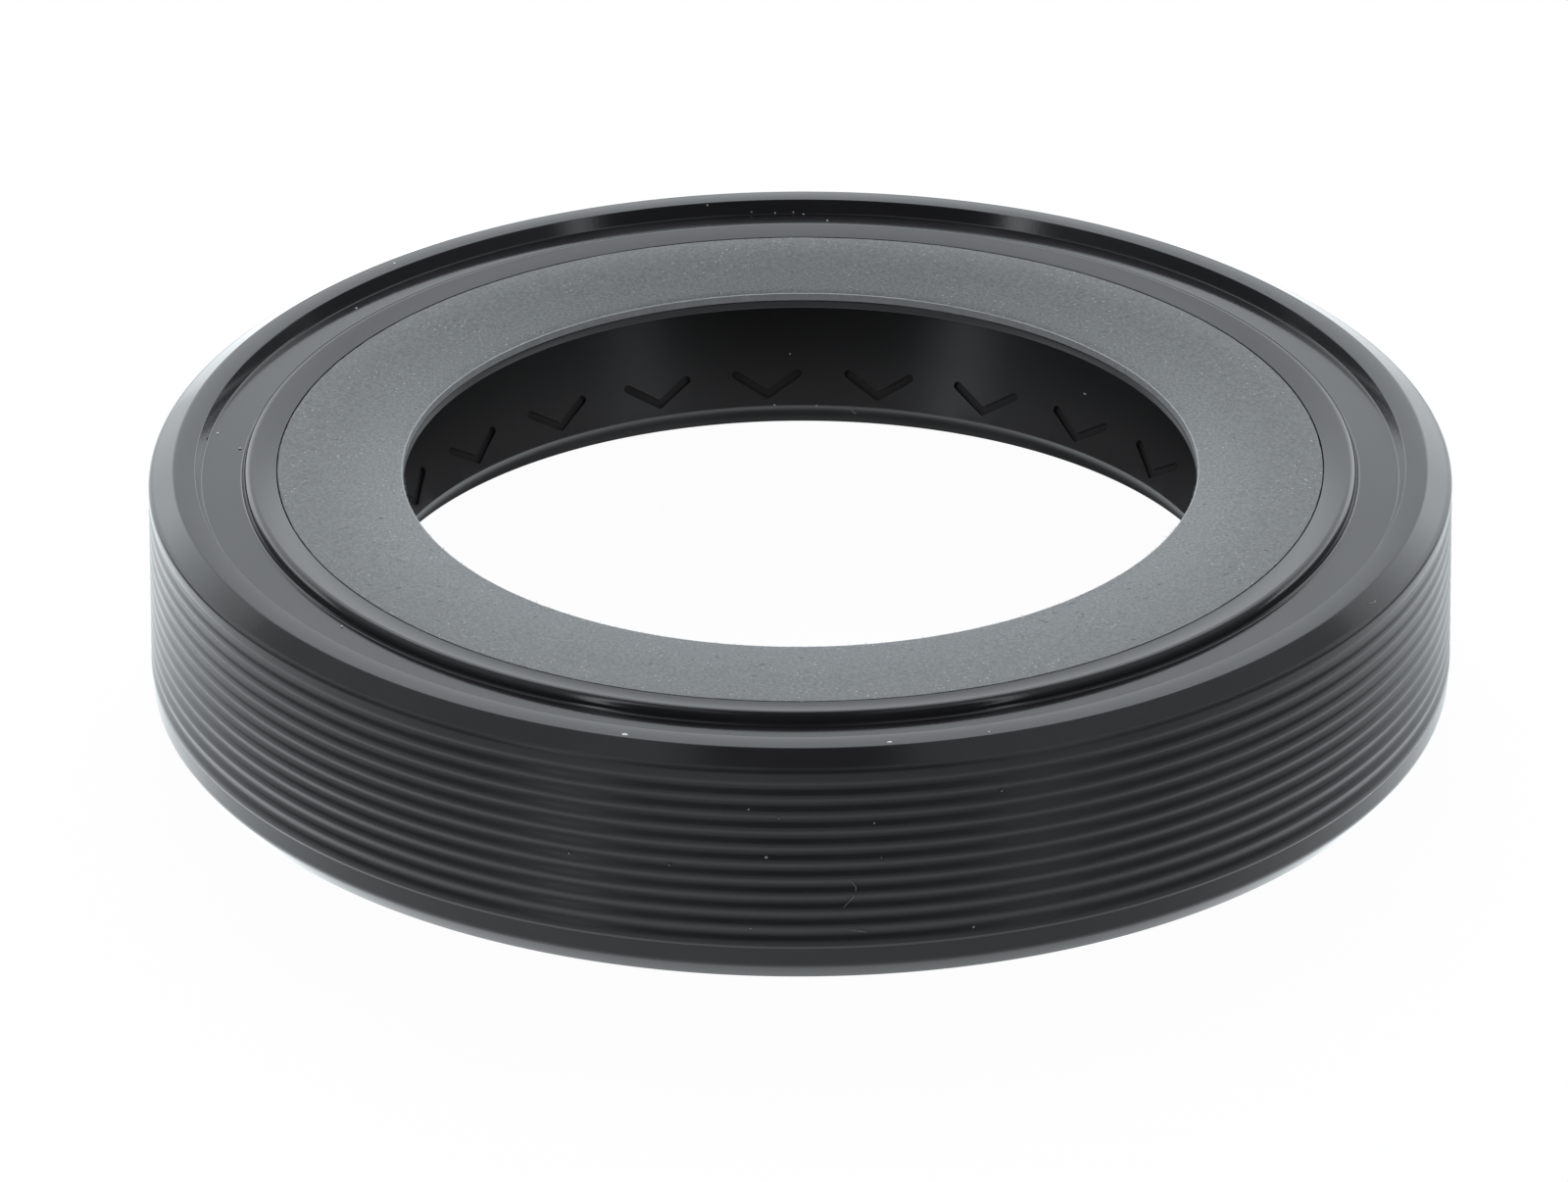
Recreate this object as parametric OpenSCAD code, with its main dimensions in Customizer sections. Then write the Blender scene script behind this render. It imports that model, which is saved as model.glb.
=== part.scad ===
// Rubber-covered rotary shaft seal with a fabric-faced dust lip.
// Millimetres. Z is the shaft's axis: the oil side stands at z = 0 and the air side faces up.

/* [Fit] */
// Shaft that the seal runs on
shaft_d = 40; // [30:1:80]
// Radial section, from the shaft to the housing bore
section_w = 10; // [9.5:0.1:14]
// Width of the seal along the shaft
height = 11.4; // [11:0.1:16]

/* [Ribbed outside] */
// Spacing of the ribs
rib_pitch = 0.82; // [0.6:0.01:0.84]
// Number of grooves between the two lands
groove_count = 10; // [4:1:10]
// Depth of the grooves
groove_depth = 0.12; // [0.05:0.01:0.2]
// Radial size of the upper chamfer
top_chamfer_w = 1.22; // [0.9:0.02:1.3]
// Angle of the upper chamfer from the axis
top_chamfer_angle = 60; // [55:1:65]
// Radius that blends the upper chamfer into the outside
top_blend_r = 0.27; // [0.15:0.01:0.4]
// Height of the plain land between the upper chamfer and the first groove
top_land_h = 0.28; // [0.2:0.01:0.4]
// Radial size of the lower lead-in chamfer
lead_in_w = 0.7; // [0.4:0.05:0.8]
// Height of the lower lead-in chamfer
lead_in_h = 0.85; // [0.4:0.05:0.95]

/* [Air side face] */
// Width of the rim, from the channel to the upper chamfer
rim_w = 0.93; // [0.8:0.01:1.2]
// Radius between the rim and the upper chamfer
rim_edge_r = 0.3; // [0.1:0.05:0.6]
// Depth of the round channel inside the rim
channel_depth = 0.61; // [0.5:0.01:0.8]
// Slope of the channel's outer wall
channel_draft = 0.28; // [0.1:0.01:0.35]
// Drop from the rim to the top of the raised face
face_drop = 0.01; // [0.01:0.01:0.08]
// Width of the rubber band round the fabric, which slopes up to the raised face's edge
band_w = 1.44; // [1:0.02:1.7]
// Radius along the raised face's edge
face_edge_r = 0.32; // [0.1:0.02:0.4]
// Radius at the foot of the raised face
face_foot_r = 0.16; // [0.05:0.01:0.3]

/* [Dust lip] */
// How far the dust lip's hole is smaller than the shaft, on the radius
dust_bite = 1.73; // [1:0.01:2]
// Radial width of the fabric ring
fabric_w = 5.88; // [5.2:0.02:6.2]
// Drop from the rim to the fabric's outer edge
fabric_drop = 0.15; // [0.1:0.01:0.25]
// How far the fabric and the web slope down from there to the hole
fabric_dish = 0.14; // [0.05:0.01:0.25]
// Thickness of the fabric ring
fabric_t = 0.33; // [0.2:0.01:0.4]
// How far the fabric's upper edge is worn back at the hole
fabric_bevel = 0.08; // [0.02:0.01:0.15]
// Gap between the fabric's outer edge and the rubber band
fabric_gap = 0.05; // [0.02:0.01:0.1]
// Thickness of the rubber web under the fabric
web_t = 0.41; // [0.3:0.01:0.5]

/* [Sealing lip] */
// How far the sealing edge is smaller than the shaft, on the radius
lip_bite = 0.44; // [0.3:0.02:0.6]
// Height of the sealing edge above the oil side
lip_z = 4.66; // [4:0.02:5.2]
// Angle of the lip's air side from the axis
lip_angle = 25; // [20:1:27]
// Height from the sealing edge down to the end of the lip
nose_h = 1.02; // [0.8:0.02:1.3]
// Radial distance from the sealing edge out to the end's inner corner
nose_w = 0.53; // [0.3:0.01:0.7]
// Hollow of the surface between those two corners
nose_hollow = 0.05; // [0.01:0.01:0.08]
// Thickness of the flexible neck
neck_t = 1.15; // [0.9:0.05:1.4]
// Radius between the neck and the web above it
neck_fillet_r = 0.8; // [0.4:0.05:1]

/* [Pumping marks] */
// Number of V marks round the lip
mark_count = 24; // [8:1:30]
// Direction of the first mark
mark_start = 4.4; // [0:0.1:15]
// Width of one V between the centres of its ends
mark_w = 2.9; // [2:0.1:3.2]
// Height of one V between centres
mark_h = 0.95; // [0.6:0.05:1.2]
// Width of the cut
mark_cut_w = 0.38; // [0.2:0.02:0.5]
// Depth of the cut
mark_depth = 0.15; // [0.08:0.01:0.25]
// Distance from the sealing edge up to the V's point
mark_lift = 0.55; // [0.4:0.05:1]

/* [Garter spring] */
// Outer diameter of the spring's coil
spring_d = 1.6; // [1.2:0.05:1.8]
// Rubber between the sealing edge and the spring, on the radius
spring_wall = 1.36; // [1.1:0.02:1.6]
// Height of the spring's centre above the sealing edge
spring_lead = 0.4; // [0.2:0.05:0.7]
// Clearance round the spring in its groove
spring_clear = 0.03; // [0.02:0.01:0.1]
// Angle that the groove wraps the spring below its centre
spring_wrap_low = 50; // [30:1:65]
// Angle that the groove wraps the spring above its centre
spring_wrap_high = 70; // [50:1:80]

/* [Steel case] */
// Thickness of the sheet steel
case_t = 0.9; // [0.7:0.05:1]
// Rubber over the case's outside
cover_w = 1.1; // [0.9:0.05:1.2]
// Rubber over the case's flange, under the channel
cover_top = 0.5; // [0.3:0.05:0.7]
// Rubber under the end of the case's leg
cover_end = 0.6; // [0.3:0.05:0.7]
// Rubber under the flange, round the root of the neck
root_t = 0.45; // [0.3:0.05:0.7]
// How far that rubber runs out along the flange
root_w = 1.6; // [0.8:0.1:1.9]
// Rubber between the neck's air side and the flange's inner edge
flange_grip = 1.3; // [1:0.05:1.6]
// Outer radius of the case's bend
bend_r = 1.3; // [1.2:0.1:1.6]

/* [Hidden] */
$fn = 180;
arc_steps = 8;
wave_steps = 8;
overcut = 0.3;
rubber_colour = [0.11, 0.115, 0.125];
fabric_colour = [0.36, 0.37, 0.39];
case_colour = [0.62, 0.63, 0.65];
spring_colour = [0.75, 0.76, 0.78];

outer_r = shaft_d / 2 + section_w;
rim_outer_r = outer_r - top_chamfer_w;
rim_inner_r = rim_outer_r - rim_w;
rim_flat_r = rim_outer_r - rim_edge_r * tan((90 - top_chamfer_angle) / 2);
channel_z = height - channel_depth;
face_z = height - face_drop;

// The outside's chamfer and the arc that blends it into the wall
chamfer_corner_z = height - top_chamfer_w / tan(top_chamfer_angle);
land_top_z = chamfer_corner_z - top_blend_r * tan(top_chamfer_angle / 2);
wave_top_z = land_top_z - top_land_h;
wave_low_z = wave_top_z - groove_count * rib_pitch;

// The fabric ring and the web that carries it
hole_r = shaft_d / 2 - dust_bite;
fabric_r = hole_r + fabric_w;
pocket_r = fabric_r + fabric_gap;
face_r = pocket_r + band_w;
band_slope = atan2(fabric_drop - face_drop, band_w - face_edge_r);
fabric_top_z = height - fabric_drop;
fabric_low_z = fabric_top_z - fabric_t;
hole_top_z = fabric_low_z - fabric_dish;
hole_low_z = hole_top_z - web_t;
web_z = hole_low_z + fabric_dish / 2;

// The sealing edge and the neck above it
lip_r = shaft_d / 2 - lip_bite;
nose_z = lip_z - nose_h;
nose_r = lip_r + nose_w;
neck_top_r = lip_r + (web_z - lip_z) * tan(lip_angle);
neck_fillet_run = neck_fillet_r / tan((90 - lip_angle) / 2);
neck_fillet_c = [neck_top_r - neck_fillet_run, web_z - neck_fillet_r];
neck_back = neck_t / cos(lip_angle);

// The spring and its groove
groove_r = spring_d / 2 + spring_clear;
spring_c = [lip_r + spring_wall + groove_r, lip_z + spring_lead];
nose_tip = spring_c + groove_r * [cos(spring_wrap_low), -sin(spring_wrap_low)];
shoulder = spring_c + groove_r * [cos(spring_wrap_high), sin(spring_wrap_high)];
shoulder_w = 0.2;
shoulder_h = 0.7;
nose_round_r = 0.25;

// The case: a leg inside the outside and a flange under the face
leg_outer_r = outer_r - cover_w;
leg_inner_r = leg_outer_r - case_t;
flange_top_z = channel_z - cover_top;
flange_low_z = flange_top_z - case_t;
flange_inner_r = lip_r + (flange_low_z - lip_z) * tan(lip_angle) + flange_grip;
root_z = flange_low_z - root_t;
root_r = lip_r + (root_z - lip_z) * tan(lip_angle) + neck_back;
root_fillet_r = 0.4;

// Points along an arc
function arc_points(centre, radius, from, to, steps = arc_steps) =
    [for (i = [0 : steps])
        centre + radius * [cos(from + (to - from) * i / steps), sin(from + (to - from) * i / steps)]];

// Radius of the ribbed outside at a height
function wave_r(z) = outer_r - groove_depth / 2 * (1 - cos(360 * (z - wave_low_z) / rib_pitch));

// Radius of the lip's air side at a height
function lip_side_r(z) = lip_r + (z - lip_z) * tan(lip_angle);

// Lead-in chamfer, lower land, grooves, upper land, upper chamfer and rim's edge, from the bottom up
function outside_points() = concat(
    [[outer_r - lead_in_w, 0], [outer_r, lead_in_h]],
    [for (i = [0 : groove_count * wave_steps])
        let (z = wave_low_z + i * rib_pitch / wave_steps) [wave_r(z), z]],
    arc_points([outer_r - top_blend_r, land_top_z], top_blend_r, 0, top_chamfer_angle),
    arc_points([rim_flat_r, height - rim_edge_r], rim_edge_r, top_chamfer_angle, 90)
);

// Rim, channel, raised face and the pocket for the fabric, from the outside in
function face_points() = concat(
    [[rim_inner_r, height], [rim_inner_r - channel_draft, channel_z]],
    arc_points([face_r + face_foot_r, channel_z + face_foot_r], face_foot_r, 270, 180),
    arc_points([face_r - face_edge_r, face_z - face_edge_r], face_edge_r, 0, 90 + band_slope),
    [[pocket_r, fabric_top_z], [pocket_r, fabric_low_z], [fabric_r, fabric_low_z]],
    [[hole_r, hole_top_z], [hole_r, hole_low_z]]
);

// Underside of the web, air side of the neck, sealing edge and the end of the lip
function lip_points() = concat(
    arc_points(neck_fillet_c, neck_fillet_r, 90, -lip_angle),
    [[lip_r, lip_z]],
    [for (i = [1 : arc_steps - 1]) let (t = i / arc_steps)
        [lip_r + nose_w * t, lip_z - nose_h * t] + 4 * nose_hollow * t * (1 - t) * [nose_h, nose_w] / nose_h],
    [[nose_r, nose_z]]
);

// Nose, spring groove, back of the neck and root, from the lip's end up to the flange
function back_points() = concat(
    arc_points([nose_tip[0] - nose_round_r, nose_z + nose_round_r], nose_round_r, -90, 0),
    arc_points(spring_c, groove_r, -spring_wrap_low, spring_wrap_high - 360, 4 * arc_steps),
    [[shoulder[0] + shoulder_w, shoulder[1] + shoulder_w]],
    [[lip_side_r(shoulder[1] + shoulder_h) + neck_back, shoulder[1] + shoulder_h]],
    arc_points([root_r + root_fillet_r, root_z - root_fillet_r], root_fillet_r, 180, 90),
    [[flange_inner_r + root_w, root_z], [flange_inner_r + root_w + root_t / 2, flange_low_z]]
);

// Section through the sheet steel
module case_section() {
    polygon(concat(
        [[flange_inner_r, flange_low_z]],
        arc_points([leg_inner_r - (bend_r - case_t), flange_low_z - (bend_r - case_t)], bend_r - case_t, 90, 0),
        [[leg_inner_r, cover_end], [leg_outer_r, cover_end]],
        arc_points([leg_outer_r - bend_r, flange_top_z - bend_r], bend_r, 0, 90),
        [[flange_inner_r, flange_top_z]]
    ));
}

// One V mark, drawn flat with its point at the origin
module mark_outline() {
    arm_l = norm([mark_w / 2, mark_h]);
    arm_angle = atan2(mark_h, mark_w / 2);
    for (side = [arm_angle, 180 - arm_angle])
        rotate(side) {
            translate([0, -mark_cut_w / 2])
                square([arm_l, mark_cut_w]);
            translate([arm_l, 0])
                circle(d = mark_cut_w, $fn = 24);
        }
    circle(d = mark_cut_w, $fn = 24);
}

// The V marks, each standing square to the lip's air side
module marks() {
    for (i = [0 : mark_count - 1])
        rotate([0, 0, mark_start + i * 360 / mark_count])
            translate([lip_r + mark_lift * sin(lip_angle), 0, lip_z + mark_lift * cos(lip_angle)])
                rotate([0, lip_angle, 0])
                    translate([-overcut, 0, 0])
                        rotate([90, 0, 90])
                            linear_extrude(height = overcut + mark_depth)
                                mark_outline();
}

// Moulded rubber: outside, face, web, neck and sealing lip in one piece
module seal_body() {
    color(rubber_colour)
        difference() {
            rotate_extrude()
                difference() {
                    polygon(concat(
                        [[leg_inner_r, 0]],
                        outside_points(),
                        face_points(),
                        lip_points(),
                        back_points(),
                        [[leg_inner_r, flange_low_z]]
                    ));
                    case_section();
                }
            marks();
        }
}

// Fabric ring on the web
module dust_lip_fabric() {
    color(fabric_colour)
        rotate_extrude()
            polygon([
                [hole_r, hole_top_z],
                [fabric_r, fabric_low_z],
                [fabric_r, fabric_top_z],
                [hole_r + fabric_bevel, fabric_top_z - fabric_dish]
            ]);
}

// Pressed steel case, held in the rubber and bare on its inner side
module steel_case() {
    color(case_colour)
        rotate_extrude()
            case_section();
}

// Closed ring of the spring, in the groove behind the sealing edge
module garter_spring() {
    color(spring_colour)
        rotate_extrude()
            translate(spring_c)
                circle(d = spring_d, $fn = 32);
}

seal_body();
dust_lip_fabric();
steel_case();
garter_spring();
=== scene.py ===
"""Oil seal: finished surfaces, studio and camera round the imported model.

Sizes are millimetres and are turned into metres by MM where a mesh is made.
Heights count up from the plane that the seal stands on; Z is the shaft's axis.
"""
import math
import random

import bpy
from mathutils import Matrix, Vector, noise


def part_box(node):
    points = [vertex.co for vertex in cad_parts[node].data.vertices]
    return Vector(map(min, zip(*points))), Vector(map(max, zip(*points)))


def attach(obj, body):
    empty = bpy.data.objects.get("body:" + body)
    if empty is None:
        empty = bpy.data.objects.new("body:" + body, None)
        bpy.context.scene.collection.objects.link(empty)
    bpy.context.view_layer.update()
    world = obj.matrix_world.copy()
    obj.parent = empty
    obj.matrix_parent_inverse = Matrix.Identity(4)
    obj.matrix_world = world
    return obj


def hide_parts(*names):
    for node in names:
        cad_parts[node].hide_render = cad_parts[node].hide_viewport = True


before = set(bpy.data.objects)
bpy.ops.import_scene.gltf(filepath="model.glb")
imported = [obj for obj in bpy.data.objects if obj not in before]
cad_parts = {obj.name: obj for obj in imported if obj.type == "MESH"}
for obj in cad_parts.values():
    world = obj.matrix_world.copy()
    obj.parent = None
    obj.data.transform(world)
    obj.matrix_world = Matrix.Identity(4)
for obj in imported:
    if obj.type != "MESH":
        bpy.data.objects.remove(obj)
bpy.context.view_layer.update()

MM = 0.001
BODY = "root"


def node_box_mm(node):
    """Lowest and highest corners of a node, in millimetres."""
    low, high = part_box(node)
    return [value / MM for value in low], [value / MM for value in high]


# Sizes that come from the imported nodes
BODY_HIGH = node_box_mm("seal_body")[1]
FABRIC_HIGH = node_box_mm("dust_lip_fabric")[1]
CASE_LOW, CASE_HIGH = node_box_mm("steel_case")
SPRING_LOW, SPRING_HIGH = node_box_mm("garter_spring")

OUTER_R = BODY_HIGH[0]
HEIGHT = BODY_HIGH[2]
# The photograph's parting line lies a hair inside the solid's
PARTING_INSET = 0.1
FABRIC_R = FABRIC_HIGH[0] - PARTING_INSET
FABRIC_TOP_Z = FABRIC_HIGH[2]
CASE_R = CASE_HIGH[0]
CASE_END_Z = CASE_LOW[2]
CASE_TOP_Z = CASE_HIGH[2]
SPRING_COIL_R = (SPRING_HIGH[2] - SPRING_LOW[2]) / 2
SPRING_Z = (SPRING_HIGH[2] + SPRING_LOW[2]) / 2
SPRING_RING_R = SPRING_HIGH[0] - SPRING_COIL_R

# Outside: lead-in chamfer, lower land, ribs, upper land and upper chamfer
RIB_PITCH = 0.82
GROOVE_COUNT = 10
GROOVE_DEPTH = 0.12
WAVE_STEPS = 8
LEAD_IN_W = 0.7
LEAD_IN_H = 0.85
LEAD_IN_ROUND = 0.5
LAND_STEP = 0.08
LAND_STEP_TOP = 0.18
LAND_STEP_H = 0.15
LAND_STEP_R = 0.04
TOP_CHAMFER_W = 1.22
TOP_CHAMFER_ANGLE = math.radians(60)
TOP_BLEND_R = 0.27
TOP_LAND_H = 0.28

# Air side face
RIM_W = 0.93
RIM_EDGE_R = 0.35
RIM_ANGLE = math.radians(2.8)
RIM_EDGE_OUT = 0.08
CHANNEL_DEPTH = 0.61
CHANNEL_DRAFT = 0.28
CHANNEL_FOOT_R = 0.12
CHANNEL_ANGLE = math.radians(1.7)
FACE_DROP = 0.01
BAND_W = 1.53
FACE_EDGE_R = 0.4
FACE_FOOT_R = 0.16
FABRIC_GAP = 0.06
POCKET_EDGE_R = 0.015

# Dust lip
HOLE_R = 18.27
FABRIC_T = 0.33
FABRIC_DISH = 0.14
WEB_T = 0.41

# Sealing lip
LIP_R = 19.56
LIP_Z = 4.66
LIP_ANGLE = math.radians(25)
NOSE_H = 1.1
NOSE_W = 0.53
NOSE_HOLLOW = 0.09
NECK_T = 1.15
NECK_FILLET_R = 0.8
SPRING_CLEAR = 0.03
SPRING_WRAP_LOW = math.radians(50)
SPRING_WRAP_HIGH = math.radians(70)
SHOULDER_W = 0.2
SHOULDER_H = 0.7
NOSE_ROUND_R = 0.25
NOSE_CORNER_R = 0.35

# V marks on the air side of the lip
MARK_COUNT = 24
MARK_START = math.radians(4.4)
MARK_W = 2.9
MARK_H = 0.95
MARK_CUT_W = 0.38
MARK_DEPTH = 0.15
MARK_LIFT = 0.55
MARK_ARC_STEPS = 8
MARK_TIP_STEPS = 4
# How far the cutter stands out of the lip
MARK_CUTTER_OUT = 0.3

# Steel case
CASE_T = 0.9
BEND_R = 1.3
ROOT_T = 0.45
ROOT_W = 1.6
ROOT_FILLET_R = 0.4
FLANGE_GRIP = 1.3

AROUND = 360
ARC_STEPS = 6
# Edges sharper than this, in degrees, stay sharp; the others are for thin wire and for grains
SHARP_ANGLE = 35
ROUND_WIRE = 80
ROUND_GRAIN = 180
BODY_EDGE_R = 0.06
CASE_EDGE_R = 0.08


# Profiles

def arc(centre, radius, start, end, steps=ARC_STEPS):
    """Points along an arc; the angles are in radians."""
    angles = [start + (end - start) * i / steps for i in range(steps + 1)]
    return [(centre[0] + radius * math.cos(a), centre[1] + radius * math.sin(a)) for a in angles]


# Points closer than this are one point
SAME_POINT = 0.002
# The least turn that is rounded, and the most of an edge that one corner takes
LEAST_TURN = math.radians(20)
EDGE_SHARE = 0.45
# Corners from this radius up get more points
LARGE_CORNER_R = 0.3


def softened(points, radius):
    """The same closed outline with each sharp corner rounded.

    A point with a third number has that as its own radius.
    """
    points = [p for i, p in enumerate(points) if math.dist(p[:2], points[i - 1][:2]) > SAME_POINT]
    count = len(points)
    out = []
    for i, point in enumerate(points):
        here = Vector(point[:2])
        back = Vector(points[i - 1][:2]) - here
        ahead = Vector(points[(i + 1) % count][:2]) - here
        turn = math.pi - back.angle(ahead)
        if len(point) < 3 and turn < LEAST_TURN:
            out.append(tuple(here))
            continue
        corner_r = point[2] if len(point) > 2 else radius
        steps = 3 if corner_r < LARGE_CORNER_R else 6
        run = min(corner_r * math.tan(turn / 2), EDGE_SHARE * back.length, EDGE_SHARE * ahead.length)
        start = here + back.normalized() * run
        end = here + ahead.normalized() * run
        for k in range(steps + 1):
            t = k / steps
            out.append(tuple(start * (1 - t) ** 2 + here * 2 * t * (1 - t) + end * t ** 2))
    return out


def lip_side_r(z):
    """Radius of the lip's air side at a height."""
    return LIP_R + (z - LIP_Z) * math.tan(LIP_ANGLE)


def body_profile():
    """Closed section of the moulded rubber, from the bottom inner corner round the outside."""
    leg_inner_r = CASE_R - CASE_T
    flange_low_z = CASE_TOP_Z - CASE_T
    channel_z = HEIGHT - CHANNEL_DEPTH
    rim_outer_r = OUTER_R - TOP_CHAMFER_W
    rim_inner_r = rim_outer_r - RIM_W
    pocket_r = FABRIC_R + FABRIC_GAP
    face_r = pocket_r + BAND_W
    face_z = HEIGHT - FACE_DROP
    fabric_low_z = FABRIC_TOP_Z - FABRIC_T
    hole_top_z = fabric_low_z - FABRIC_DISH
    hole_low_z = hole_top_z - WEB_T
    web_z = hole_low_z + FABRIC_DISH / 2

    land_top_z = (HEIGHT - TOP_CHAMFER_W / math.tan(TOP_CHAMFER_ANGLE)
                  - TOP_BLEND_R * math.tan(TOP_CHAMFER_ANGLE / 2))
    wave_low_z = land_top_z - TOP_LAND_H - GROOVE_COUNT * RIB_PITCH

    step_top_z = wave_low_z - LAND_STEP_TOP
    outside = [(leg_inner_r, 0), (OUTER_R - LEAD_IN_W, 0),
               (OUTER_R - LAND_STEP, LEAD_IN_H, LEAD_IN_ROUND),
               (OUTER_R - LAND_STEP, step_top_z - LAND_STEP_H, LAND_STEP_R),
               (OUTER_R, step_top_z, LAND_STEP_R)]
    for i in range(GROOVE_COUNT * WAVE_STEPS + 1):
        wave = 1 - math.cos(2 * math.pi * i / WAVE_STEPS)
        outside.append((OUTER_R - GROOVE_DEPTH / 2 * wave, wave_low_z + i * RIB_PITCH / WAVE_STEPS))
    outside += arc((OUTER_R - TOP_BLEND_R, land_top_z), TOP_BLEND_R, 0, TOP_CHAMFER_ANGLE)
    rim_drop = (RIM_W + RIM_EDGE_OUT) * math.tan(RIM_ANGLE)
    outside.append((rim_outer_r + RIM_EDGE_OUT, HEIGHT - rim_drop, RIM_EDGE_R))

    channel_r = rim_inner_r - CHANNEL_DRAFT
    face = [(rim_inner_r, HEIGHT), (channel_r, channel_z, CHANNEL_FOOT_R)]
    foot_z = channel_z + (channel_r - face_r - FACE_FOOT_R) * math.tan(CHANNEL_ANGLE)
    face += arc((face_r + FACE_FOOT_R, foot_z + FACE_FOOT_R), FACE_FOOT_R,
                math.radians(270), math.radians(180))
    band_slope = math.atan2(face_z - FABRIC_TOP_Z, BAND_W - FACE_EDGE_R)
    face += arc((face_r - FACE_EDGE_R, face_z - FACE_EDGE_R), FACE_EDGE_R, 0, math.pi / 2 + band_slope)
    face += [(pocket_r, FABRIC_TOP_Z, POCKET_EDGE_R), (pocket_r, fabric_low_z), (FABRIC_R, fabric_low_z),
             (HOLE_R, hole_top_z), (HOLE_R, hole_low_z)]

    fillet_run = NECK_FILLET_R / math.tan((math.pi / 2 - LIP_ANGLE) / 2)
    fillet_c = (lip_side_r(web_z) - fillet_run, web_z - NECK_FILLET_R)
    lip = arc(fillet_c, NECK_FILLET_R, math.radians(90), -LIP_ANGLE)
    lip.append((LIP_R, LIP_Z))
    for i in range(1, ARC_STEPS):
        t = i / ARC_STEPS
        bow = 4 * NOSE_HOLLOW * t * (1 - t)
        lip.append((LIP_R + NOSE_W * t + bow, LIP_Z - NOSE_H * t + bow * NOSE_W / NOSE_H))
    nose_z = LIP_Z - NOSE_H
    lip.append((LIP_R + NOSE_W, nose_z, NOSE_CORNER_R))

    groove_r = SPRING_COIL_R + SPRING_CLEAR
    tip_r = SPRING_RING_R + groove_r * math.cos(SPRING_WRAP_LOW)
    shoulder = (SPRING_RING_R + groove_r * math.cos(SPRING_WRAP_HIGH),
                SPRING_Z + groove_r * math.sin(SPRING_WRAP_HIGH))
    neck_back = NECK_T / math.cos(LIP_ANGLE)
    root_z = flange_low_z - ROOT_T
    root_r = lip_side_r(root_z) + neck_back
    flange_inner_r = lip_side_r(flange_low_z) + FLANGE_GRIP
    back = arc((tip_r - NOSE_ROUND_R, nose_z + NOSE_ROUND_R), NOSE_ROUND_R, -math.pi / 2, 0)
    back += arc((SPRING_RING_R, SPRING_Z), groove_r, -SPRING_WRAP_LOW,
                SPRING_WRAP_HIGH - 2 * math.pi, 4 * ARC_STEPS)
    back.append((shoulder[0] + SHOULDER_W, shoulder[1] + SHOULDER_W))
    back.append((lip_side_r(shoulder[1] + SHOULDER_H) + neck_back, shoulder[1] + SHOULDER_H))
    back += arc((root_r + ROOT_FILLET_R, root_z - ROOT_FILLET_R), ROOT_FILLET_R,
                math.pi, math.pi / 2)
    back += [(flange_inner_r + ROOT_W, root_z), (flange_inner_r + ROOT_W + ROOT_T / 2, flange_low_z),
             (leg_inner_r, flange_low_z)]
    return outside + face + lip + back


def case_profile():
    """Closed section of the pressed steel case."""
    leg_inner_r = CASE_R - CASE_T
    flange_low_z = CASE_TOP_Z - CASE_T
    flange_inner_r = lip_side_r(flange_low_z) + FLANGE_GRIP
    inner_bend = BEND_R - CASE_T
    points = [(flange_inner_r, flange_low_z)]
    points += arc((leg_inner_r - inner_bend, flange_low_z - inner_bend), inner_bend, math.pi / 2, 0)
    points += [(leg_inner_r, CASE_END_Z), (CASE_R, CASE_END_Z)]
    points += arc((CASE_R - BEND_R, CASE_TOP_Z - BEND_R), BEND_R, 0, math.pi / 2)
    points.append((flange_inner_r, CASE_TOP_Z))
    return points


# Meshes

def smooth(mesh, sharp_angle=SHARP_ANGLE):
    """Smooth shading with sharp edges where faces meet at more than this angle."""
    mesh.polygons.foreach_set("use_smooth", [True] * len(mesh.polygons))
    mesh.set_sharp_from_angle(angle=math.radians(sharp_angle))


def mesh_object(name, vertices, faces, material, sharp_angle=SHARP_ANGLE):
    """A smooth-shaded object from vertices in metres, riding on the seal."""
    mesh = bpy.data.meshes.new(name)
    mesh.from_pydata(vertices, [], faces)
    mesh.validate()
    smooth(mesh, sharp_angle)
    mesh.materials.append(material)
    obj = bpy.data.objects.new(name, mesh)
    bpy.context.scene.collection.objects.link(obj)
    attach(obj, BODY)
    return obj


def even_flats(obj):
    """Lean the normals towards the large faces, so that flat faces shade flat."""
    modifier = obj.modifiers.new("flats", "WEIGHTED_NORMAL")
    modifier.mode = "FACE_AREA"
    modifier.keep_sharp = True


def turned(name, profile, material, around=AROUND, shape=None):
    """A ring turned from a closed section, with an optional change to each point."""
    count = len(profile)
    vertices = []
    for i in range(around):
        angle = 2 * math.pi * i / around
        for j, (r, z) in enumerate(profile):
            if shape:
                r, z = shape(r, z, angle, j)
            vertices.append((r * math.cos(angle) * MM, r * math.sin(angle) * MM, z * MM))
    faces = []
    for i in range(around):
        here, beside = i * count, (i + 1) % around * count
        for j in range(count):
            k = (j + 1) % count
            faces.append((here + j, beside + j, beside + k, here + k))
    return mesh_object(name, vertices, faces, material)


UPRIGHT = Vector((0, 0, 1))
# Off the axis, so that no upright hair is parallel to it
NEAR_UPRIGHT = Vector((0.3, 0.1, 1))
# Share of a tube's radius that is left at its ends
TAPER = 0.5


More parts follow.
